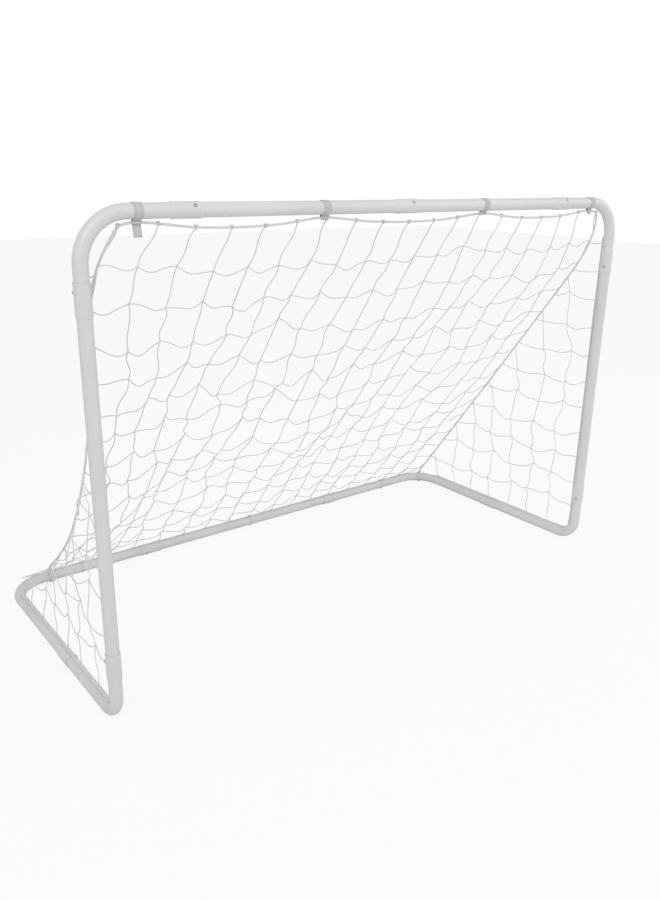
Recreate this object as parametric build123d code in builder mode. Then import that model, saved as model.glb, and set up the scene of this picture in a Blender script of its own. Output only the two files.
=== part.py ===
"""Portable soccer goal: a push-fit steel tube frame held by snap buttons, with a net hung inside it.

Millimetres. X runs along the crossbar, +Y from the goal mouth to the rear bar, +Z up.
The origin is the middle of the footprint, on the ground.
"""

import os
from math import cos, pi, radians, sin

from build123d import *

# ---------------------------------------------------------------- overall sizes
width = 1820  # outside of one post to outside of the other
height = 1220  # ground to the top of the crossbar
depth = 860  # front of the posts to the back of the rear bar

# ---------------------------------------------------------------- tube
tube_od = 33
tube_wall = 1.0
bend_radius = 107  # upper and rear corners, to the tube's axis
foot_bend_radius = 65  # where a post turns into its side rail

# ---------------------------------------------------------------- push-fit sockets
socket_gap = 0.4  # radial clearance of a spigot in a socket
socket_wall = 1.2
socket_length = 70
socket_shoulder = 6  # cone where a tube widens into its socket
spigot_length = 65

# ---------------------------------------------------------------- where the joints lie
crossbar_joint = 635  # snap buttons of the outer crossbar joints, from the middle
upper_post_joint_left = 1045  # height of a snap button
upper_post_joint_right = 1000
lower_post_joint_left = 181
lower_post_joint_right = 175
side_joint_left = -92  # snap buttons of the side rails, along Y
side_joint_right = 18
rear_joint_left = -430  # snap buttons of the rear bar, along X
rear_joint_right = 372

# ---------------------------------------------------------------- snap buttons and their springs
button_setback = 20  # from a socket's mouth
button_diameter = 8
button_gap = 0.2  # radial clearance of a button in its holes
button_height = 2.5  # stands out of the socket
button_edge = 1.2
button_tuck = 0.3  # a pressed button's top stops this far inside the socket's bore
leaf_width = 9
leaf_thickness = 0.8
leaf_length = 38
leaf_overhang = 6  # of the leaf past the button, towards the tube's end
leaf_gap = 0.2  # from the leaf's edges to the bore
spring_split = 0.5  # between the moving leaf and the fixed part of the spring

# ---------------------------------------------------------------- net, ropes and straps
net_thickness = 3
net_gap = 0.5  # from the net to the tubes
rope_diameter = 6
strap_places = (-765, -280, 280, 765)  # along the crossbar
strap_width = 22
strap_thickness = 1.0
strap_gap = 0.3
strap_drop = 5  # from the strap to the middle of the rope that it carries
rope_sag = 16  # of the top rope between two straps
rope_end = 40  # of the top rope past the outer straps
net_foot_x = 735  # half the back panel's lower edge
net_foot_rise = 150  # height of its cut-away lower corners, up the slope
left_hitch_x = 765  # where the left sloping rope is tied to the rear bar
hitch_length = 14  # of the turns that tie a sloping rope to the frame
hitch_gap = 0.4  # from those turns to the bent tube in them

# ---------------------------------------------------------------- worked out
tube_id = tube_od - 2 * tube_wall
socket_id = tube_od + 2 * socket_gap
socket_od = socket_id + 2 * socket_wall
edge = socket_od / 2  # from the outer faces of the goal to the tubes' axes
post_x = width / 2 - edge
front_y = edge - depth / 2
rear_y = depth / 2 - edge
top_z = height - edge
base_z = edge
button_travel = button_height + socket_wall + button_tuck
leaf_top = (tube_id**2 / 4 - leaf_width**2 / 4) ** 0.5 - leaf_gap

os.makedirs("parts", exist_ok=True)


def save(part, name):
    part.label = name
    export_step(part, f"parts/{name}.step")


# ---------------------------------------------------------------- joints between the tubes
# name: (snap button's point on the tubes' axis, way the socket opens, way the button points)
left_out = Vector(-cos(radians(37)), sin(radians(37)), 0)
right_in = Vector(-cos(radians(20)), -sin(radians(20)), 0)
front_up = Vector(0, -cos(radians(35)), sin(radians(35)))
front_down = Vector(0, -cos(radians(30)), -sin(radians(30)))
right_up = Vector(cos(radians(37)), 0, sin(radians(37)))
X, Y, Z = Vector(1, 0, 0), Vector(0, 1, 0), Vector(0, 0, 1)

joints = {
    "post_left_lower": (Vector(-post_x, front_y, lower_post_joint_left), Z, left_out),
    "post_left_upper": (Vector(-post_x, front_y, upper_post_joint_left), Z, left_out),
    "crossbar_outer_left": (Vector(-crossbar_joint, front_y, top_z), X, front_up),
    "crossbar_middle": (Vector(0, front_y, top_z), X, front_up),
    "crossbar_outer_right": (Vector(crossbar_joint, front_y, top_z), X, front_up),
    "post_right_upper": (Vector(post_x, front_y, upper_post_joint_right), -Z, right_in),
    "post_right_lower": (Vector(post_x, front_y, lower_post_joint_right), -Z, right_in),
    "side_right": (Vector(post_x, side_joint_right, base_z), Y, right_up),
    "rear_right": (Vector(rear_joint_right, rear_y, base_z), -X, front_down),
    "rear_left": (Vector(rear_joint_left, rear_y, base_z), -X, front_down),
    "side_left": (Vector(-post_x, side_joint_left, base_z), -Y, X),
}

# ---------------------------------------------------------------- frame tubes
# name: (joint at its spigot, joint at its socket, corner it bends round, radius of that bend)
tubes = {
    "post_left": ("post_left_lower", "post_left_upper", None, None),
    "upper_corner_left": ("post_left_upper", "crossbar_outer_left", (-post_x, front_y, top_z), bend_radius),
    "crossbar_left": ("crossbar_outer_left", "crossbar_middle", None, None),
    "crossbar_right": ("crossbar_middle", "crossbar_outer_right", None, None),
    "upper_corner_right": ("crossbar_outer_right", "post_right_upper", (post_x, front_y, top_z), bend_radius),
    "post_right": ("post_right_upper", "post_right_lower", None, None),
    "lower_corner_right": ("post_right_lower", "side_right", (post_x, front_y, base_z), foot_bend_radius),
    "rear_corner_right": ("side_right", "rear_right", (post_x, rear_y, base_z), bend_radius),
    "rear_bar": ("rear_right", "rear_left", None, None),
    "rear_corner_left": ("rear_left", "side_left", (-post_x, rear_y, base_z), bend_radius),
    "lower_corner_left": ("side_left", "post_left_lower", (-post_x, front_y, base_z), foot_bend_radius),
}

for name, (spigot_joint, socket_joint, corner, radius) in tubes.items():
    spigot_button, spigot_way, spigot_side = joints[spigot_joint]
    socket_button, socket_way, socket_side = joints[socket_joint]
    start = spigot_button + spigot_way * (button_setback - spigot_length)
    mouth = socket_button + socket_way * button_setback
    neck = mouth - socket_way * (socket_length + socket_shoulder)
    beside = socket_way.cross(socket_side)

    with BuildPart() as tube:
        with BuildLine() as route:
            if corner is None:
                Line(start, neck)
            else:
                FilletPolyline(start, Vector(*corner), neck, radius=radius)
        with BuildSketch(Plane(origin=start, z_dir=spigot_way)):
            Circle(tube_od / 2)
            Circle(tube_id / 2, mode=Mode.SUBTRACT)
        sweep(path=route.wires()[0])

        # the socket: a cone out to a wider tube that takes the next piece's spigot
        with BuildSketch(Plane(origin=neck, x_dir=socket_way, z_dir=beside)):
            with BuildLine():
                Polyline(
                    (0, tube_id / 2),
                    (0, tube_od / 2),
                    (socket_shoulder, socket_od / 2),
                    (socket_shoulder + socket_length, socket_od / 2),
                    (socket_shoulder + socket_length, socket_id / 2),
                    (socket_shoulder, socket_id / 2),
                    close=True,
                )
            make_face()
        revolve(axis=Axis(neck, socket_way))

        # one hole for the snap button in each end
        for button, side in ((spigot_button, spigot_side), (socket_button, socket_side)):
            with BuildSketch(Plane(origin=button, z_dir=side)):
                Circle(button_diameter / 2 + button_gap)
            extrude(amount=socket_od, mode=Mode.SUBTRACT)
    save(tube.part, name)

# ---------------------------------------------------------------- snap buttons, each on its spring's leaf
for name, (button, way, side) in joints.items():
    with BuildPart() as snap_button:
        with BuildSketch(Plane(origin=button + side * leaf_top, z_dir=side)):
            Circle(button_diameter / 2)
        extrude(amount=edge + button_height - leaf_top)
        fillet(snap_button.edges().sort_by(Axis(button, side))[-1], button_edge)
        leaf_middle = button + way * (leaf_length / 2 - leaf_overhang)
        with BuildSketch(Plane(origin=leaf_middle + side * leaf_top, x_dir=way, z_dir=side)):
            Rectangle(leaf_length, leaf_width)
        extrude(amount=-leaf_thickness)
    save(snap_button.part, f"snap_button_{name}")

# the fixed part of every spring: a leaf on the far side of the bore, and the bend that joins the two
spring_middle_radius = leaf_top - leaf_thickness / 2
with BuildPart() as button_springs:
    for button, way, side in joints.values():
        bend_start = button + way * (leaf_length - leaf_overhang + spring_split)
        with BuildSketch(Plane(origin=bend_start, x_dir=way, z_dir=way.cross(side))):
            with BuildLine():
                turn = CenterArc((0, 0), spring_middle_radius, -90, 180)
                Line((0, -spring_middle_radius), (-leaf_length, -spring_middle_radius))
            trace(line_width=leaf_thickness)
        extrude(amount=leaf_width / 2, both=True)
save(button_springs.part, "button_springs")

# ---------------------------------------------------------------- where the net and its ropes lie
# beside a post and a side rail, in their plane: first the rope, then the side panel
rope_offset = socket_od / 2 + net_gap + rope_diameter / 2
panel_offset = rope_offset + rope_diameter / 2 + net_gap
rear_bend_x = post_x - bend_radius
rear_bend_y = rear_y - bend_radius

# the sloping ropes end on turns of rope: on the rear bar at the left, halfway round the bend at the right
hitch_od = tube_od + 2 * (hitch_gap + rope_diameter)
hitch_share = cos(radians(45))
right_hitch = Vector(rear_bend_x + bend_radius * hitch_share, rear_bend_y + bend_radius * hitch_share, base_z)
left_hitch = Vector(-left_hitch_x, rear_y, base_z)
hitch_rest_z = base_z + hitch_od / 2 + rope_diameter / 2 + net_gap
slope_rope_x = right_hitch.X
net_back_x = slope_rope_x - rope_diameter / 2 - net_gap

rope_z = top_z - tube_od / 2 - strap_gap - strap_thickness - strap_drop
net_bottom_z = base_z + socket_od / 2 + net_gap + net_thickness
slope_top = Vector(0, front_y, rope_z - rope_sag - rope_diameter / 2 - net_gap - net_thickness / 3)
slope_bottom = Vector(0, rear_y, net_bottom_z)
slope = slope_top - slope_bottom

# ---------------------------------------------------------------- net panels
# the sloping back, cut away at its lower corners where the ropes are tied
with BuildPart() as net_back:
    with BuildSketch(Plane(origin=slope_bottom, x_dir=X, z_dir=X.cross(slope))) as back_outline:
        with BuildLine():
            Polyline(
                (-net_foot_x, 0),
                (net_foot_x, 0),
                (net_back_x, net_foot_rise),
                (net_back_x, slope.length),
                (-net_back_x, slope.length),
                (-net_back_x, net_foot_rise),
                close=True,
            )
        make_face()
        fillet(back_outline.vertices().group_by(Axis.Z)[-1], bend_radius)
    extrude(amount=net_thickness / 2, both=True)
save(net_back.part, "net_back")

# a side panel fills the triangle between its post, the side rail and the sloping back
for name, side_x in (("net_side_left", -post_x), ("net_side_right", post_x)):
    with BuildPart() as net_side:
        with BuildSketch(Plane(origin=(side_x, 0, 0), x_dir=Y, z_dir=X)) as side_outline:
            with BuildLine():
                Polyline(
                    (front_y + panel_offset, base_z + panel_offset),
                    (rear_bend_y, base_z + panel_offset),
                    (front_y + panel_offset, top_z - bend_radius),
                    close=True,
                )
            make_face()
            foot = side_outline.vertices().sort_by_distance((front_y, base_z))[0]
            fillet(foot, foot_bend_radius - panel_offset)
        extrude(amount=net_thickness / 2, both=True)
    save(net_side.part, name)

# ---------------------------------------------------------------- straps that hang the net on the crossbar
strap_bore = tube_od / 2 + strap_gap
loop_bore = rope_diameter / 2 + strap_gap
strap_tail = top_z - strap_bore - rope_z
with BuildPart() as net_straps:
    for place in strap_places:
        with BuildSketch(Plane(origin=(place, front_y, top_z), x_dir=Y, z_dir=X)):
            Circle(strap_bore + strap_thickness)
            Circle(strap_bore, mode=Mode.SUBTRACT)
        extrude(amount=strap_width / 2, both=True)
        with BuildSketch(Plane(origin=(place, front_y, rope_z), x_dir=Y, z_dir=X)):
            Circle(loop_bore + strap_thickness)
            with Locations((0, strap_tail / 2)):
                Rectangle(2 * strap_thickness, strap_tail)
            Circle(loop_bore, mode=Mode.SUBTRACT)
        extrude(amount=strap_width / 2, both=True)
save(net_straps.part, "net_straps")


# ---------------------------------------------------------------- border ropes
def arc_radii(points):
    """The largest arcs that the runs beside each corner leave room for."""
    radii = []
    for before, corner, after in zip(points, points[1:], points[2:]):
        half_turn = radians((corner - before).get_angle(after - corner) / 2)
        run = min((corner - before).length, (after - corner).length)
        radii.append(0.45 * run * cos(half_turn) / sin(half_turn))
    return radii


def save_rope(name, places, radii=None):
    points = [Vector(*place) for place in places]
    radii = radii or arc_radii(points)
    with BuildPart() as rope:
        with BuildLine() as rope_route:
            FilletPolyline(*points, radius=radii)
        with BuildSketch(Plane(origin=points[0], z_dir=points[1] - points[0])):
            Circle(rope_diameter / 2)
        sweep(path=rope_route.wires()[0])
    length = rope_route.wires()[0].length
    share = rope.part.volume / (pi * rope_diameter**2 / 4 * length)
    print(name, "length", round(length), "radii", [round(r) for r in radii], "share", round(share, 3))
    save(rope.part, name)


# the top rope is level through each strap's loop and sags between two straps
top_places = [(strap_places[0] - rope_end, front_y, rope_z - rope_diameter)]
for place, next_place in zip(strap_places, (*strap_places[1:], None)):
    top_places.append((place - strap_width, front_y, rope_z))
    top_places.append((place + strap_width, front_y, rope_z))
    if next_place:
        for share in (0.3, 0.7):
            top_places.append((place + share * (next_place - place), front_y, rope_z - rope_sag))
top_places.append((strap_places[-1] + rope_end, front_y, rope_z - rope_diameter))
save_rope("top_rope", top_places)

# each post's rope runs down behind the post, round the foot bend and back along the side rail
for name, side_x in (("post_rope_left", -post_x), ("post_rope_right", post_x)):
    post_places = [
        (side_x, front_y + rope_offset, top_z - bend_radius),
        (side_x, front_y + rope_offset, base_z + rope_offset),
        (side_x, rear_bend_y, base_z + rope_offset),
    ]
    save_rope(name, post_places, [foot_bend_radius - rope_offset])

# the sloping ropes go on from the top rope's ends; the right one is tight and the left one slack
rope_start_x = strap_places[-1] + rope_end + 0.4 * rope_diameter
rope_start = (front_y, rope_z - rope_diameter)
right_slope = [
    (rope_start_x, *rope_start),
    (slope_rope_x, -388, 1088),
    (slope_rope_x, -205, 836),
    (slope_rope_x, 80, 445),
    (slope_rope_x, right_hitch.Y, hitch_rest_z),
]
left_slope = [
    (-rope_start_x, *rope_start),
    (-slope_rope_x, -388, 1088),
    (-slope_rope_x, -352, 940),
    (-slope_rope_x, -318, 780),
    (-slope_rope_x, -250, 600),
    (-slope_rope_x, -120, 390),
    (-848, 60, 245),
    (-822, 240, 135),
    (-left_hitch_x, left_hitch.Y - hitch_length, hitch_rest_z),
]
save_rope("slope_rope_left", left_slope)
save_rope("slope_rope_right", right_slope)

with BuildPart() as rope_hitches:
    for centre, along in ((left_hitch, X), (right_hitch, Vector(1, -1, 0))):
        with BuildSketch(Plane(origin=centre, z_dir=along)):
            Circle(hitch_od / 2)
            Circle(tube_od / 2 + hitch_gap, mode=Mode.SUBTRACT)
        extrude(amount=hitch_length / 2, both=True)
    # the turns are pressed flat where the frame stands on them
    split(bisect_by=Plane.XY.offset(hitch_gap), keep=Keep.TOP)
save(rope_hitches.part, "rope_hitches")
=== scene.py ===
"""Looks of the portable soccer goal: powder-coated tubes, and a knotted net on ropes and straps."""

import math
import random

import bpy
from mathutils import Matrix, Vector, noise


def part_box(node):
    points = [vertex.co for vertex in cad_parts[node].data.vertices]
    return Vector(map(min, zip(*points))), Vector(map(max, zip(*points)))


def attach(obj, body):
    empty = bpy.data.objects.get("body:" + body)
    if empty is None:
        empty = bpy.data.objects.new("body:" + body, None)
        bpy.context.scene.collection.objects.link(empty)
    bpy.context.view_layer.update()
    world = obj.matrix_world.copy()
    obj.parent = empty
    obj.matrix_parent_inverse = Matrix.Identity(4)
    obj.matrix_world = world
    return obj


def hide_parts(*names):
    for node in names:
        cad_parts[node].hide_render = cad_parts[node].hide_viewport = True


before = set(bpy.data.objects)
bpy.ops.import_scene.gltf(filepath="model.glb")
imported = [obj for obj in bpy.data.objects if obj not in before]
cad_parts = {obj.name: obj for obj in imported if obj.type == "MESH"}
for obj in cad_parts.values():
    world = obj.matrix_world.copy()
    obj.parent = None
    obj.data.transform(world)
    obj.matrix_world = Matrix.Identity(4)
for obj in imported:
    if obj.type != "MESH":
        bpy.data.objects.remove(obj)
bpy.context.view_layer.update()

# ---------------------------------------------------------------- sizes, in metres
TUBE_RADIUS = 0.0165
BEND_RADIUS = 0.107
FOOT_BEND_RADIUS = 0.065
ROPE_RADIUS = 0.003
ROPE_GAP = 0.0005
TWINE_RADIUS = 0.0014
KNOT_RADIUS = 0.0030
MESH = 0.1  # side of one net mesh
STRAP_WIDTH = 0.022
STRAP_THICKNESS = 0.001
STRAP_PLACES = (-0.765, -0.28, 0.28, 0.765)
TOP_SAG = 0.016
ROPE_END = 0.04  # of the top rope past the outer straps
HITCH_GAP = 0.0004  # from the tube to the turns tied round it
STRAP_BAR_GAP = 0.0004  # from a strap to the crossbar
STRAP_ROPE_GAP = 0.0003


def middle(node):
    """The middle of a node's box at rest."""
    low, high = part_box(node)
    return (Vector(low) + Vector(high)) / 2


POST_X = middle("post_right").x
FRONT_Y = middle("crossbar_left").y
TOP_Z = middle("crossbar_left").z
REAR_Y = middle("rear_bar").y
BASE_Z = middle("rear_bar").z
SOCKET_RADIUS = BASE_Z
ROPE_OFFSET = SOCKET_RADIUS + ROPE_GAP + ROPE_RADIUS  # from a post or side rail to the rope along it
SIDE_NET_X = middle("net_side_right").x
REAR_BEND_Y = REAR_Y - BEND_RADIUS  # where a side rail's straight run ends
# the right sloping rope is tied halfway round its rear bend, the left one to the rear bar
HITCH_X = POST_X - BEND_RADIUS * (1 - math.cos(math.radians(45)))
HITCH_Y = REAR_BEND_Y + BEND_RADIUS * math.cos(math.radians(45))
LEFT_HITCH_X = 0.765
HITCH_REST_Z = BASE_Z + TUBE_RADIUS + 3 * ROPE_RADIUS + HITCH_GAP + ROPE_GAP
ROPE_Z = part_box("top_rope")[1][2] - ROPE_RADIUS
SLOPE_START_X = STRAP_PLACES[-1] + ROPE_END + 0.8 * ROPE_RADIUS
BACK_NET_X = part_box("net_back")[1][0]


# ---------------------------------------------------------------- materials
class Shader:
    """A node material on one Principled shader, with short ways to add the nodes that the finishes share."""

    def __init__(self, name, roughness, metallic=0.0):
        self.material = bpy.data.materials.new(name)
        self.material.use_nodes = True
        self.tree = self.material.node_tree
        self.shader = self.tree.nodes["Principled BSDF"]
        self.shader.inputs["Roughness"].default_value = roughness
        self.shader.inputs["Metallic"].default_value = metallic
        self.place = self.tree.nodes.new("ShaderNodeTexCoord").outputs["Object"]

    def link(self, source, target):
        self.tree.links.new(source, target)

    def noise(self, scale, detail=3.0, roughness=0.5, place=None):
        node = self.tree.nodes.new("ShaderNodeTexNoise")
        node.inputs["Scale"].default_value = scale
        node.inputs["Detail"].default_value = detail
        node.inputs["Roughness"].default_value = roughness
        self.link(place or self.place, node.inputs["Vector"])
        return node.outputs["Fac"]

    def ramp(self, source, *stops):
        node = self.tree.nodes.new("ShaderNodeValToRGB")
        elements = node.color_ramp.elements
        while len(elements) < len(stops):
            elements.new(0.5)
        for element, (position, value) in zip(elements, stops):
            element.position = position
            element.color = (*value, 1.0) if isinstance(value, tuple) else (value, value, value, 1.0)
        self.link(source, node.inputs["Fac"])
        return node.outputs["Color"]

    def mix(self, factor, first, second):
        node = self.tree.nodes.new("ShaderNodeMix")
        node.data_type = "RGBA"
        self.link(factor, node.inputs["Factor"])
        for value, socket in ((first, node.inputs[6]), (second, node.inputs[7])):
            if isinstance(value, tuple):
                socket.default_value = (*value, 1.0)
            else:
                self.link(value, socket)
        return node.outputs[2]

    def colour(self, source):
        self.link(source, self.shader.inputs["Base Color"])

    def roughness(self, source):
        self.link(source, self.shader.inputs["Roughness"])

    def bump(self, source, distance, strength=1.0):
        node = self.tree.nodes.new("ShaderNodeBump")
        node.inputs["Distance"].default_value = distance
        node.inputs["Strength"].default_value = strength
        self.link(source, node.inputs["Height"])
        self.link(node.outputs["Normal"], self.shader.inputs["Normal"])


def powder_coat():
    """White powder coat: a fine orange peel, a faint cool and warm drift, and a few scuffs."""
    finish = Shader("powder_coat", 0.34)
    drift = finish.noise(3.0, 2.0)
    body = finish.ramp(drift, (0.35, (0.66, 0.67, 0.685)), (0.65, (0.72, 0.725, 0.73)))
    scuffs = finish.ramp(finish.noise(38.0, 8.0, 0.72), (0.68, 0.0), (0.74, 1.0))
    finish.colour(finish.mix(scuffs, body, (0.56, 0.57, 0.58)))
    finish.roughness(finish.ramp(finish.noise(55.0, 4.0), (0.3, 0.30), (0.7, 0.42)))
    finish.bump(finish.noise(900.0, 2.0), 0.00012, 0.5)
    return finish.material


def zinc_steel(name, tone):
    """Zinc-plated steel with a fine brushed grain."""
    finish = Shader(name, 0.35, metallic=1.0)
    grain = finish.noise(700.0, 4.0)
    light = tuple(tone * share for share in (1.0, 1.0, 1.02))
    dark = tuple(tone * share for share in (0.72, 0.73, 0.76))
    finish.colour(finish.ramp(grain, (0.35, dark), (0.65, light)))
    finish.roughness(finish.ramp(finish.noise(120.0), (0.3, 0.28), (0.7, 0.5)))
    finish.bump(grain, 0.00005)
    return finish.material


def twine(name, tone):
    """Twisted white polyethylene: fine slanting fibres and a little grey where it has been handled."""
    finish = Shader(name, 0.62)
    soil = finish.noise(9.0, 4.0)
    fibres = finish.noise(1500.0, 2.0)
    clean = (tone, tone, tone)
    handled = tuple(tone * share for share in (0.90, 0.905, 0.91))
    shaded = tuple(tone * share for share in (0.80, 0.805, 0.81))
    body = finish.ramp(soil, (0.35, handled), (0.6, clean))
    finish.colour(finish.mix(finish.ramp(fibres, (0.35, 0.6), (0.6, 0.0)), body, shaded))
    finish.bump(fibres, 0.0003, 0.7)
    finish.shader.inputs["Sheen Weight"].default_value = 0.15
    return finish.material


def webbing():
    """White hook-and-loop webbing, woven across and along its length."""
    finish = Shader("strap_webbing", 0.75)
    weave = finish.tree.nodes.new("ShaderNodeTexWave")
    weave.inputs["Scale"].default_value = 420.0
    weave.inputs["Distortion"].default_value = 1.2
    finish.link(finish.place, weave.inputs["Vector"])
    fuzz = finish.noise(1400.0, 3.0)
    body = finish.ramp(weave.outputs["Fac"], (0.1, (0.60, 0.60, 0.61)), (0.7, (0.76, 0.76, 0.77)))
    finish.colour(finish.mix(finish.ramp(fuzz, (0.4, 0.35), (0.6, 0.0)), body, (0.52, 0.52, 0.53)))
    finish.bump(weave.outputs["Fac"], 0.0003)
    return finish.material


POWDER_COAT = powder_coat()
BUTTON_STEEL = zinc_steel("button_zinc", 0.62)
SPRING_STEEL = zinc_steel("spring_zinc", 0.5)
NET_TWINE = twine("net_twine", 0.80)
ROPE_TWINE = twine("rope_twine", 0.76)
STRAP_WEBBING = webbing()


# ---------------------------------------------------------------- geometry trees
class Tree:
    """A geometry node tree with named inputs, run once on a base mesh and kept as a plain mesh."""

    def __init__(self, name, **sizes):
        self.tree = bpy.data.node_groups.new(name, "GeometryNodeTree")
        face = self.tree.interface
        face.new_socket("Geometry", in_out="INPUT", socket_type="NodeSocketGeometry")
        self.sockets = {}
        for size, value in sizes.items():
            kind = "NodeSocketInt" if isinstance(value, int) else "NodeSocketFloat"
            socket = face.new_socket(size, in_out="INPUT", socket_type=kind)
            self.sockets[size] = (socket.identifier, value)
        face.new_socket("Geometry", in_out="OUTPUT", socket_type="NodeSocketGeometry")
        self.entry = self.add("NodeGroupInput")
        self.exit = self.add("NodeGroupOutput")

    def add(self, kind, **settings):
        node = self.tree.nodes.new(kind)
        for setting, value in settings.items():
            setattr(node, setting, value)
        return node

    def link(self, source, target):
        self.tree.links.new(source, target)

    def finish(self, source, material):
        """Ends the tree in real geometry with its material."""
        realize = self.add("GeometryNodeRealizeInstances")
        paint = self.add("GeometryNodeSetMaterial")
        paint.inputs["Material"].default_value = material
        self.link(source, realize.inputs["Geometry"])
        self.link(realize.outputs["Geometry"], paint.inputs["Geometry"])
        self.link(paint.outputs["Geometry"], self.exit.inputs["Geometry"])

    def run(self, name, points, edges, flags=None):
        """The plain object that the tree makes from the given points and edges."""
        base = bpy.data.meshes.new(name + "_base")
        base.from_pydata(points, edges, [])
        for flag, values in (flags or {}).items():
            base.attributes.new(flag, "FLOAT", "POINT").data.foreach_set("value", values)
        holder = bpy.data.objects.new(name + "_base", base)
        bpy.context.scene.collection.objects.link(holder)
        modifier = holder.modifiers.new("tree", "NODES")
        modifier.node_group = self.tree
        for identifier, value in self.sockets.values():
            modifier[identifier] = value
        shape = holder.evaluated_get(bpy.context.evaluated_depsgraph_get())
        mesh = bpy.data.meshes.new_from_object(shape)
        bpy.data.objects.remove(holder)
        mesh.name = name
        piece = bpy.data.objects.new(name, mesh)
        bpy.context.scene.collection.objects.link(piece)
        return piece


def net_tree():
    """Round twine along every edge, and a knot at every point that carries the flag."""
    tree = Tree("knotted_net", radius=TWINE_RADIUS, sides=6, knot=KNOT_RADIUS, seed=7)
    paths = tree.add("GeometryNodeMeshToCurve")
    profile = tree.add("GeometryNodeCurvePrimitiveCircle")
    tubes = tree.add("GeometryNodeCurveToMesh")
    tubes.inputs["Fill Caps"].default_value = True
    smooth = tree.add("GeometryNodeSetShadeSmooth")
    tree.link(tree.entry.outputs["Geometry"], paths.inputs["Mesh"])
    tree.link(tree.entry.outputs["sides"], profile.inputs["Resolution"])
    tree.link(tree.entry.outputs["radius"], profile.inputs["Radius"])
    tree.link(paths.outputs["Curve"], tubes.inputs["Curve"])
    tree.link(profile.outputs["Curve"], tubes.inputs["Profile Curve"])

    flag = tree.add("GeometryNodeInputNamedAttribute", data_type="FLOAT")
    flag.inputs["Name"].default_value = "knot"
    knots = tree.add("GeometryNodeMeshToPoints")
    ball = tree.add("GeometryNodeMeshIcoSphere")
    ball.inputs["Subdivisions"].default_value = 2
    turn = tree.add("FunctionNodeRandomValue", data_type="FLOAT_VECTOR")
    turn.inputs["Min"].default_value = (0.0, 0.0, 0.0)
    turn.inputs["Max"].default_value = (math.tau, math.tau, math.tau)
    size = tree.add("FunctionNodeRandomValue", data_type="FLOAT_VECTOR")
    size.inputs["Min"].default_value = (0.75, 0.75, 0.75)
    size.inputs["Max"].default_value = (1.3, 1.0, 1.0)
    spread = tree.add("GeometryNodeInstanceOnPoints")
    tree.link(tree.entry.outputs["Geometry"], knots.inputs["Mesh"])
    tree.link(flag.outputs["Attribute"], knots.inputs["Selection"])
    tree.link(tree.entry.outputs["knot"], ball.inputs["Radius"])
    tree.link(tree.entry.outputs["seed"], turn.inputs["Seed"])
    tree.link(tree.entry.outputs["seed"], size.inputs["Seed"])
    tree.link(knots.outputs["Points"], spread.inputs["Points"])
    tree.link(ball.outputs["Mesh"], spread.inputs["Instance"])
    tree.link(turn.outputs[0], spread.inputs["Rotation"])
    tree.link(size.outputs[0], spread.inputs["Scale"])

    join = tree.add("GeometryNodeJoinGeometry")
    tree.link(tubes.outputs["Mesh"], join.inputs["Geometry"])
    tree.link(spread.outputs["Instances"], join.inputs["Geometry"])
    tree.link(join.outputs["Geometry"], smooth.inputs["Geometry"])
    tree.finish(smooth.outputs["Geometry"], NET_TWINE)
    return tree


def rope_tree():
    """A three-strand rope: a lobed section turned steadily along the path."""
    tree = Tree("laid_rope", radius=ROPE_RADIUS, step=0.0016, lay=170.0)
    paths = tree.add("GeometryNodeMeshToCurve")
    even = tree.add("GeometryNodeResampleCurve", mode="LENGTH")
    travelled = tree.add("GeometryNodeSplineParameter")
    turn = tree.add("ShaderNodeMath", operation="MULTIPLY")
    tilt = tree.add("GeometryNodeSetCurveTilt")
    tree.link(tree.entry.outputs["Geometry"], paths.inputs["Mesh"])
    tree.link(paths.outputs["Curve"], even.inputs["Curve"])
    tree.link(tree.entry.outputs["step"], even.inputs["Length"])
    tree.link(travelled.outputs["Length"], turn.inputs[0])
    tree.link(tree.entry.outputs["lay"], turn.inputs[1])
    tree.link(even.outputs["Curve"], tilt.inputs["Curve"])
    tree.link(turn.outputs[0], tilt.inputs["Tilt"])

    # the section: a circle that dips three times
    circle = tree.add("GeometryNodeCurvePrimitiveCircle")
    circle.inputs["Resolution"].default_value = 15
    share = tree.add("GeometryNodeSplineParameter")
    angle = tree.add("ShaderNodeMath", operation="MULTIPLY")
    angle.inputs[1].default_value = 3 * math.tau
    wave = tree.add("ShaderNodeMath", operation="COSINE")
    depth = tree.add("ShaderNodeMath", operation="MULTIPLY_ADD")
    depth.inputs[1].default_value = 0.13
    depth.inputs[2].default_value = 0.87
    spot = tree.add("GeometryNodeInputPosition")
    scaled = tree.add("ShaderNodeVectorMath", operation="SCALE")
    section = tree.add("GeometryNodeSetPosition")
    tree.link(tree.entry.outputs["radius"], circle.inputs["Radius"])
    tree.link(share.outputs["Factor"], angle.inputs[0])
    tree.link(angle.outputs[0], wave.inputs[0])
    tree.link(wave.outputs[0], depth.inputs[0])
    tree.link(spot.outputs["Position"], scaled.inputs[0])
    tree.link(depth.outputs[0], scaled.inputs["Scale"])
    tree.link(circle.outputs["Curve"], section.inputs["Geometry"])
    tree.link(scaled.outputs[0], section.inputs["Position"])

    strands = tree.add("GeometryNodeCurveToMesh")
    strands.inputs["Fill Caps"].default_value = True
    smooth = tree.add("GeometryNodeSetShadeSmooth")
    tree.link(tilt.outputs["Curve"], strands.inputs["Curve"])
    tree.link(section.outputs["Geometry"], strands.inputs["Profile Curve"])
    tree.link(strands.outputs["Mesh"], smooth.inputs["Geometry"])
    tree.finish(smooth.outputs["Geometry"], ROPE_TWINE)
    return tree


NET = net_tree()
ROPE = rope_tree()


def dress(piece, slot, *nodes):
    """Hangs a finished piece on the frame in place of its CAD nodes."""
    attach(piece, "frame")
    if nodes:
        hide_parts(*nodes)


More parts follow.
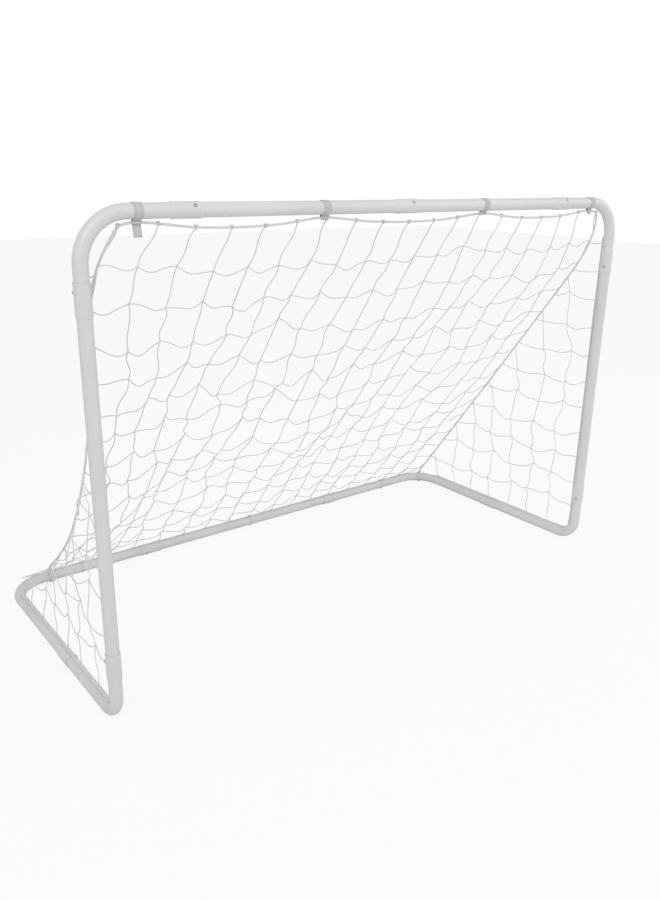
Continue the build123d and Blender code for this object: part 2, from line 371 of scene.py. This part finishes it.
# ---------------------------------------------------------------- ropes
def smooth_route(places, name):
    """Points along the smooth line that the given places shape."""
    curve = bpy.data.curves.new(name, "CURVE")
    curve.dimensions = "3D"
    spline = curve.splines.new("NURBS")
    spline.points.add(len(places) - 1)
    for point, place in zip(spline.points, places):
        point.co = (*place, 1.0)
    spline.order_u = 3
    spline.use_endpoint_u = True
    spline.resolution_u = 16
    holder = bpy.data.objects.new(name, curve)
    bpy.context.scene.collection.objects.link(holder)
    shape = holder.evaluated_get(bpy.context.evaluated_depsgraph_get())
    mesh = bpy.data.meshes.new_from_object(shape)
    points = [vertex.co.copy() for vertex in mesh.vertices]
    bpy.data.objects.remove(holder)
    return points


def chain(count, first=0):
    return [(first + k, first + k + 1) for k in range(count - 1)]


def rope(name, places, *nodes):
    points = smooth_route(places, name + "_route")
    piece = ROPE.run(name, points, chain(len(points)))
    dress(piece, "border_rope", *nodes)
    return points


def top_rope():
    places = [(STRAP_PLACES[0] - ROPE_END, FRONT_Y, ROPE_Z - 2 * ROPE_RADIUS)]
    for place, following in zip(STRAP_PLACES, (*STRAP_PLACES[1:], None)):
        places.append((place - STRAP_WIDTH, FRONT_Y, ROPE_Z))
        places.append((place + STRAP_WIDTH, FRONT_Y, ROPE_Z))
        if following:
            for share in (0.3, 0.7):
                places.append((place + share * (following - place), FRONT_Y, ROPE_Z - TOP_SAG))
    places.append((STRAP_PLACES[-1] + ROPE_END, FRONT_Y, ROPE_Z - 2 * ROPE_RADIUS))
    return rope("net_top_rope", places, "top_rope")


def post_rope(name, side, node):
    """Down behind the post, round the foot bend and back along the side rail."""
    x = side * POST_X
    y, z = FRONT_Y + ROPE_OFFSET, BASE_Z + ROPE_OFFSET
    foot = FOOT_BEND_RADIUS - ROPE_OFFSET
    top = TOP_Z - BEND_RADIUS
    places = [(x, y, top)]
    for share in (0.8, 0.6, 0.4, 0.2):
        places.append((x, y + 0.001 + 0.001 * math.sin(9 * share + side), z + share * (top - z)))
    places += [
        (x, y, z + foot),
        (x, y + 0.12 * foot, z + 0.12 * foot),
        (x, y + foot, z),
        (x, y + 0.3, z + 0.001),
        (x, REAR_BEND_Y - 0.2, z + 0.001),
        (x, REAR_BEND_Y, z),
    ]
    return rope(name, places, node)


def slope_rope(name, side, inner, node):
    start = (side * SLOPE_START_X, FRONT_Y, ROPE_Z - 2 * ROPE_RADIUS)
    return rope(name, [start, *((side * x, y, z) for x, y, z in inner)], node)


RIGHT_SLOPE = (
    (HITCH_X, -0.388, 1.088), (HITCH_X, -0.205, 0.836), (HITCH_X, 0.080, 0.445),
    (HITCH_X, HITCH_Y, HITCH_REST_Z),
)
LEFT_SLOPE = (
    (HITCH_X, -0.388, 1.088), (HITCH_X, -0.352, 0.940), (HITCH_X, -0.318, 0.780), (HITCH_X, -0.250, 0.600),
    (HITCH_X, -0.120, 0.390), (0.848, 0.060, 0.245), (0.822, 0.240, 0.135),
    (LEFT_HITCH_X, REAR_Y - 0.014, HITCH_REST_Z),
)


def hitch(centre, along):
    """Just under two and a half turns of the sloping rope round the frame, flattened where the goal stands
    on them.
    """
    across = along.cross(Vector((0, 0, 1)))
    pitch, turns, steps = 2 * ROPE_RADIUS * 0.9, 2.4, 30
    radius = TUBE_RADIUS + HITCH_GAP + ROPE_RADIUS
    points = []
    for k in range(int(turns * steps) + 1):
        turn = k / steps
        swing = math.radians(90) + turn * math.tau
        spot = centre + along * pitch * (turn - turns / 2)
        spot += across * radius * math.cos(swing)
        spot.z += radius * math.sin(swing)
        spot.z = max(spot.z, ROPE_RADIUS)
        points.append(spot)
    return points


def hitches():
    points, edges = [], []
    ties = (
        (Vector((-LEFT_HITCH_X, REAR_Y, BASE_Z)), Vector((-1, 0, 0))),
        (Vector((HITCH_X, HITCH_Y, BASE_Z)), Vector((1, -1, 0)).normalized()),
    )
    for centre, along in ties:
        turns = hitch(centre, along)
        edges += chain(len(turns), len(points))
        points += turns
    piece = ROPE.run("rope_turns", points, edges)
    dress(piece, "border_rope", "rope_hitches")


# ---------------------------------------------------------------- net
class Net:
    """Threads and knots of one panel, gathered before the tree gives them their thickness."""

    def __init__(self, seed):
        self.points = []
        self.edges = []
        self.knots = []
        self.random = random.Random(seed)

    def thread(self, places):
        self.edges += chain(len(places), len(self.points))
        self.points += places
        self.knots += [0.0] * len(places)

    def knot(self, place):
        self.points.append(place)
        self.knots.append(1.0)

    def make(self, name, *nodes):
        piece = NET.run(name, self.points, self.edges, {"knot": self.knots})
        dress(piece, "net_twine", *nodes)


def slack_line(start, end, sag, swing, steps=8):
    """A thread between two knots: it drops by its slack and bends a little like an S."""
    places = []
    for k in range(steps):
        share = k / steps
        place = start.lerp(end, share)
        place = place + Vector((0, 0, -sag * 4 * share * (1 - share)))
        places.append(place + swing * math.sin(share * math.tau))
    return places


noise.seed_set(4)  # without a seed the noise starts from the clock, and each run has another net


def drift(place, size, seed):
    """A smooth wandering offset, the same each run."""
    return noise.noise_vector(place * (1 / size) + Vector((seed, seed * 0.37, -seed)))


def top_rope_height(points):
    """How high the top rope is at each place along the crossbar."""

    def height(x):
        below = [point for point in points if point.x <= x]
        above = [point for point in points if point.x > x]
        if not below or not above:
            return (points[0] if not below else points[-1]).z
        first, second = below[-1], above[0]
        share = (x - first.x) / (second.x - first.x)
        return first.z + share * (second.z - first.z)

    return height


def rope_at_height(points):
    """The sloping rope's place at each height."""

    def place(z):
        for first, second in zip(points, points[1:]):
            if first.z >= z >= second.z:
                share = (first.z - z) / max(first.z - second.z, 1e-9)
                return first.lerp(second, share)
        return points[-1] if z < points[-1].z else points[0]

    return place


def back_panel(rope_points, left_points, right_points):
    """The sloping back: tied along the top rope, slack in the middle, looped round the rear bar."""
    net = Net(11)
    height = top_rope_height(rope_points)
    edge_ropes = (rope_at_height(left_points), rope_at_height(right_points))
    columns, rows = 18, 15
    tied = 3  # columns over which the net's edge eases away from its rope
    top_share = 0.945  # the top edge is narrower than the foot
    crowding = 1.12  # the rows crowd together towards the rear bar, where the slack ends up
    belly_drop, belly_push = 0.055, 0.35
    wander_reach, wander_size = 0.26, 0.040
    diamond, scatter = 0.011, 0.007
    ties = (2, 5, 9, 13, 16)  # columns that are tied round the rear bar
    bottom_z = BASE_Z + TUBE_RADIUS + 0.004
    knots = []
    for row in range(rows + 1):
        down = row / rows
        reach = 1 - (1 - down) ** crowding
        line = []
        for column in range(columns + 1):
            across = column / columns
            x = (2 * across - 1) * (BACK_NET_X - 0.004)
            top = Vector((x * top_share, FRONT_Y, height(x * top_share)))
            foot = Vector((x, REAR_Y - 0.004, bottom_z))
            place = top.lerp(foot, reach)
            place.x = top.x + (x - top.x) * min(1, reach * 6)
            loose = math.sin(math.pi * reach) ** 0.8
            belly = belly_drop * loose * math.sin(math.pi * across) ** 0.5
            place += Vector((0, belly_push * belly, -belly))
            if 0 < row < rows:
                away = min(1.0, 6 * min(across, 1 - across) + 0.25)
                wander = drift(place, wander_reach, 3.1) * wander_size * loose * away
                flick = diamond * (1 if (row + column) % 2 else -1)
                jitter = Vector([net.random.uniform(-scatter, scatter) for _ in range(3)])
                place += wander + Vector((flick * 0.7, 0, flick)) * loose * away + jitter * loose
            line.append(place)
        if 0 < row < rows:
            for rope_place, outer, inward in zip(edge_ropes, (0, columns), (1, -1)):
                away = rope_place(line[outer].z) - line[outer]
                for step in range(tied + 1):
                    line[outer + inward * step] += away * (1 - step / (tied + 1))
        knots.append(line)

    for row in range(1, rows + 1):
        places = []
        for column in range(columns):
            sag = net.random.uniform(0.004, 0.017) if row < rows else 0.001
            turn = net.random.choice((-1, 1)) * net.random.uniform(0.001, 0.006)
            swing = Vector((0, 0.4 * turn, turn)) if row < rows else Vector((0, 0, 0))
            places += slack_line(knots[row][column], knots[row][column + 1], sag, swing)
        places.append(knots[row][columns])
        net.thread(places)
    for column in range(columns + 1):
        places = []
        for row in range(rows):
            turn = net.random.uniform(-0.006, 0.006)
            places += slack_line(knots[row][column], knots[row + 1][column], 0.0, Vector((turn, 0, 0)))
        places.append(knots[rows][column])
        net.thread(places)
        if column in ties:
            net.thread(bar_loop(knots[rows][column], net.random))
        net.thread(rope_loop(knots[0][column]))
        for row in range(rows + 1):
            net.knot(knots[row][column])
    net.make("back_net", "net_back")


def bar_loop(knot, chance):
    """A loop of twine that ties a foot knot round the rear bar."""
    radius = TUBE_RADIUS + 1.2 * TWINE_RADIUS
    centre = Vector((knot.x, REAR_Y, BASE_Z))
    along = Vector((1, 0, 0))
    out = Vector((0, -1, 0))
    lean = chance.uniform(-0.006, 0.006)
    places = [knot]
    steps = 22
    for k in range(steps + 1):
        swing = math.radians(70 + 40 * k / steps) + math.tau * k / steps
        spot = centre + along * lean * math.sin(math.pi * k / steps) + along * 0.003 * (k / steps - 0.5)
        spot += out * radius * math.cos(swing)
        spot.z += radius * math.sin(swing)
        spot.z = max(spot.z, TWINE_RADIUS)
        places.append(spot)
    places.append(knot + along * 0.002)
    return places


def rope_loop(knot):
    """Twine wrapped once round the top rope above a knot."""
    radius = ROPE_RADIUS + TWINE_RADIUS
    places = []
    steps = 14
    for k in range(steps + 1):
        swing = math.tau * 1.5 * k / steps
        along = 0.006 * (k / steps - 0.5)
        places.append(knot + Vector((along, radius * math.cos(swing), radius * math.sin(swing))))
    return places


def side_panel(name, side, slope_points, slack, node):
    """A side: between the post's rope, the side rail and the sloping rope."""
    net = Net(23 + side)
    rope_place = rope_at_height(slope_points)
    foot_z = BASE_Z + ROPE_OFFSET
    top = TOP_Z - BEND_RADIUS - 0.02
    rows = 11
    front = FRONT_Y + ROPE_OFFSET

    def reach(z):
        return rope_place(z).y

    step_z = (top - foot_z) / rows
    step_y = MESH * 0.98
    grid = {}
    ends = {}

    def shaped(y, z, row, column, weight=1.0):
        place = Vector((side * SIDE_NET_X, y, z))
        wander = drift(place + Vector((0, 0, side)), 0.24, 5.7) * 0.030 * slack
        flick = 0.010 * slack * (1 if (row + column) % 2 else -1)
        jitter = Vector([net.random.uniform(-0.006, 0.006) * slack for _ in range(3)])
        move = wander + Vector((0, 0.8 * flick, -flick)) + jitter
        move.x = -side * min(abs(move.x), 0.012)
        return place + move * weight

    for row in range(rows + 1):
        z = foot_z + row * step_z
        limit = reach(z) - front
        whole = int(limit / step_y)
        for column in range(whole + 1):
            y = front + column * step_y
            if limit - column * step_y < 0.3 * step_y and column:
                break
            held = row == 0 or column == 0
            grid[row, column] = shaped(y, z, row, column, 0.0 if held else 1.0)
        last = max(column for (r, column) in grid if r == row)
        ends[row] = (last, rope_place(z).copy())

    for row in range(rows + 1):
        last, end = ends[row]
        places = []
        for column in range(last):
            sag = net.random.uniform(0.004, 0.014) * slack if row else 0.001
            turn = net.random.uniform(-0.005, 0.005) * slack if row else 0.0
            places += slack_line(grid[row, column], grid[row, column + 1], sag, Vector((0, 0, turn)))
        places += slack_line(grid[row, last], end, 0.004 * slack, Vector((0, 0, 0)), 4)
        places.append(end)
        net.thread(places)
        net.knot(end)
    for column in range(max(column for _, column in grid) + 1):
        tall = [row for row in range(rows + 1) if (row, column) in grid]
        places = []
        for row in tall[:-1]:
            turn = net.random.uniform(-0.008, 0.008) * slack if column else 0.0
            places += slack_line(grid[row, column], grid[row + 1, column], 0.0, Vector((0, turn, 0)))
        peak = grid[tall[-1], column]
        places.append(peak)
        if column:
            climb = (peak.z + k * 0.004 for k in range(60))
            meet_z = next((z for z in climb if reach(z) <= peak.y), peak.z)
            if meet_z > peak.z:
                places.append(rope_place(meet_z).copy())
        if len(places) > 1:
            net.thread(places)
    for place in grid.values():
        net.knot(place)
    net.make(name, node)


# ---------------------------------------------------------------- straps
def ribbon(path, width, thickness, across):
    """A flat band of webbing along a path, with rounded edges."""
    section = ((-1, -0.3), (-0.94, -1), (0.94, -1), (1, -0.3), (1, 0.3), (0.94, 1), (-0.94, 1), (-1, 0.3))
    points, faces = [], []
    count, ring = len(path), len(section)
    for k, spot in enumerate(path):
        ahead = path[min(k + 1, count - 1)] - path[max(k - 1, 0)]
        up = across.cross(ahead).normalized()
        for u, v in section:
            points.append(spot + across * (u * width / 2) + up * (v * thickness / 2))
    for k in range(count - 1):
        for side in range(ring):
            a, b = k * ring + side, k * ring + (side + 1) % ring
            faces.append((a, b, b + ring, a + ring))
    faces.append(tuple(range(ring))[::-1])
    faces.append(tuple((count - 1) * ring + side for side in range(ring)))
    return points, faces


def strap_path(place, tail):
    """Most of the way round the rope, up round the crossbar and down again, ending in a loose tail."""
    bar = Vector((place, FRONT_Y, TOP_Z))
    cord = Vector((place, FRONT_Y, ROPE_Z))
    bar_radius = TUBE_RADIUS + STRAP_BAR_GAP + STRAP_THICKNESS / 2
    cord_radius = ROPE_RADIUS + STRAP_ROPE_GAP + STRAP_THICKNESS / 2
    path = []
    for k in range(13):
        swing = math.radians(60 - 300 * k / 12)
        path.append(cord + Vector((0, cord_radius * math.cos(swing), cord_radius * math.sin(swing))))
    for k in range(37):
        swing = math.radians(-104 - 332 * k / 36)
        path.append(bar + Vector((0, bar_radius * math.cos(swing), bar_radius * math.sin(swing))))
    start = path[-1]
    for k in range(1, 9):
        share = k / 8
        path.append(start + Vector((0, -0.007 * share - 0.004 * math.sin(share * 3) * tail, -tail * share)))
    return path


def straps():
    tails = (0.036, 0.012, 0.010, 0.016)  # loose ends that hang below the crossbar
    points, faces = [], []
    for place, tail in zip(STRAP_PLACES, tails):
        band, quads = ribbon(strap_path(place, tail), STRAP_WIDTH * 0.9, STRAP_THICKNESS, Vector((1, 0, 0)))
        faces += [tuple(len(points) + corner for corner in quad) for quad in quads]
        points += band
    mesh = bpy.data.meshes.new("hook_and_loop_straps")
    mesh.from_pydata(points, [], faces)
    mesh.materials.append(STRAP_WEBBING)
    mesh.polygons.foreach_set("use_smooth", [True] * len(mesh.polygons))
    piece = bpy.data.objects.new("hook_and_loop_straps", mesh)
    bpy.context.scene.collection.objects.link(piece)
    dress(piece, "strap_webbing", "net_straps")


# ---------------------------------------------------------------- the frame's own nodes
def paint_frame():
    for node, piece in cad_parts.items():
        if node.startswith("snap_button"):
            finish = BUTTON_STEEL
        elif node == "button_springs":
            finish = SPRING_STEEL
        else:
            finish = POWDER_COAT
        for slot in piece.material_slots:
            slot.material = finish


# ---------------------------------------------------------------- light, floor and camera
def stage():
    mesh = bpy.data.meshes.new("studio_floor")
    reach = 14.0
    corners = [(-reach, -reach, 0), (reach, -reach, 0), (reach, reach, 0), (-reach, reach, 0)]
    mesh.from_pydata(corners, [], [(0, 1, 2, 3)])
    floor = bpy.data.objects.new("studio_floor", mesh)
    bpy.context.scene.collection.objects.link(floor)
    material = bpy.data.materials.new("studio_white")
    material.use_nodes = True
    tree = material.node_tree
    tree.nodes["Principled BSDF"].inputs["Base Color"].default_value = (0.86, 0.86, 0.86, 1)
    tree.nodes["Principled BSDF"].inputs["Roughness"].default_value = 0.9
    glow = tree.nodes.new("ShaderNodeEmission")
    glow.inputs["Strength"].default_value = 1.0
    rays = tree.nodes.new("ShaderNodeLightPath")
    blend = tree.nodes.new("ShaderNodeMixShader")
    share = tree.nodes.new("ShaderNodeMath")
    share.operation = "MULTIPLY"
    share.inputs[1].default_value = 0.86
    tree.links.new(rays.outputs["Is Camera Ray"], share.inputs[0])
    tree.links.new(share.outputs[0], blend.inputs["Fac"])
    tree.links.new(tree.nodes["Principled BSDF"].outputs["BSDF"], blend.inputs[1])
    tree.links.new(glow.outputs["Emission"], blend.inputs[2])
    tree.links.new(blend.outputs["Shader"], tree.nodes["Material Output"].inputs["Surface"])
    mesh.materials.append(material)

    world = bpy.data.worlds.new("studio")
    bpy.context.scene.world = world
    world.use_nodes = True
    tree = world.node_tree
    plain = tree.nodes["Background"]
    plain.inputs["Color"].default_value = (1, 1, 1, 1)
    plain.inputs["Strength"].default_value = 0.62
    white = tree.nodes.new("ShaderNodeBackground")
    white.inputs["Color"].default_value = (1, 1, 1, 1)
    rays = tree.nodes.new("ShaderNodeLightPath")
    blend = tree.nodes.new("ShaderNodeMixShader")
    tree.links.new(rays.outputs["Is Camera Ray"], blend.inputs["Fac"])
    tree.links.new(plain.outputs["Background"], blend.inputs[1])
    tree.links.new(white.outputs["Background"], blend.inputs[2])
    tree.links.new(blend.outputs["Shader"], tree.nodes["World Output"].inputs["Surface"])


def lamp(name, place, aim, size, power):
    light = bpy.data.lights.new(name, "AREA")
    light.shape = "SQUARE"
    light.size = size
    light.energy = power
    holder = bpy.data.objects.new(name, light)
    bpy.context.scene.collection.objects.link(holder)
    holder.location = place
    holder.rotation_euler = (Vector(aim) - Vector(place)).to_track_quat("-Z", "Y").to_euler()


def camera():
    azimuth, elevation, roll = (math.radians(angle) for angle in (37.78, 18.85, 0.84))
    forward = Vector((
        math.sin(azimuth) * math.cos(elevation),
        math.cos(azimuth) * math.cos(elevation),
        -math.sin(elevation),
    ))
    level = Vector((math.cos(azimuth), -math.sin(azimuth), 0))
    above = level.cross(forward)
    right = level * math.cos(roll) + above * math.sin(roll)
    up = above * math.cos(roll) - level * math.sin(roll)
    data = bpy.data.cameras.new("camera")
    data.lens = 32.57
    holder = bpy.data.objects.new("camera", data)
    bpy.context.scene.collection.objects.link(holder)
    place = Vector((-1.5099, FRONT_Y - 1.6235, 1.283))
    turn = Matrix((right, up, -forward)).transposed().to_4x4()
    holder.matrix_world = Matrix.Translation(place) @ turn
    bpy.context.scene.camera = holder


camera()
stage()
lamp("key_light", (-3.0, -3.4, 4.2), (0, 0, 0.5), 3.0, 95)
lamp("fill_light", (3.4, -2.2, 2.6), (0, 0, 0.6), 3.0, 35)
bpy.context.scene.view_settings.view_transform = "Standard"

paint_frame()
rope_points = top_rope()
post_rope("left_post_rope", -1, "post_rope_left")
post_rope("right_post_rope", 1, "post_rope_right")
left_points = slope_rope("left_slope_rope", -1, LEFT_SLOPE, "slope_rope_left")
right_points = slope_rope("right_slope_rope", 1, RIGHT_SLOPE, "slope_rope_right")
hitches()
back_panel(rope_points, left_points, right_points)
side_panel("left_side_net", -1, left_points, 1.4, "net_side_left")
side_panel("right_side_net", 1, right_points, 1.0, "net_side_right")
straps()
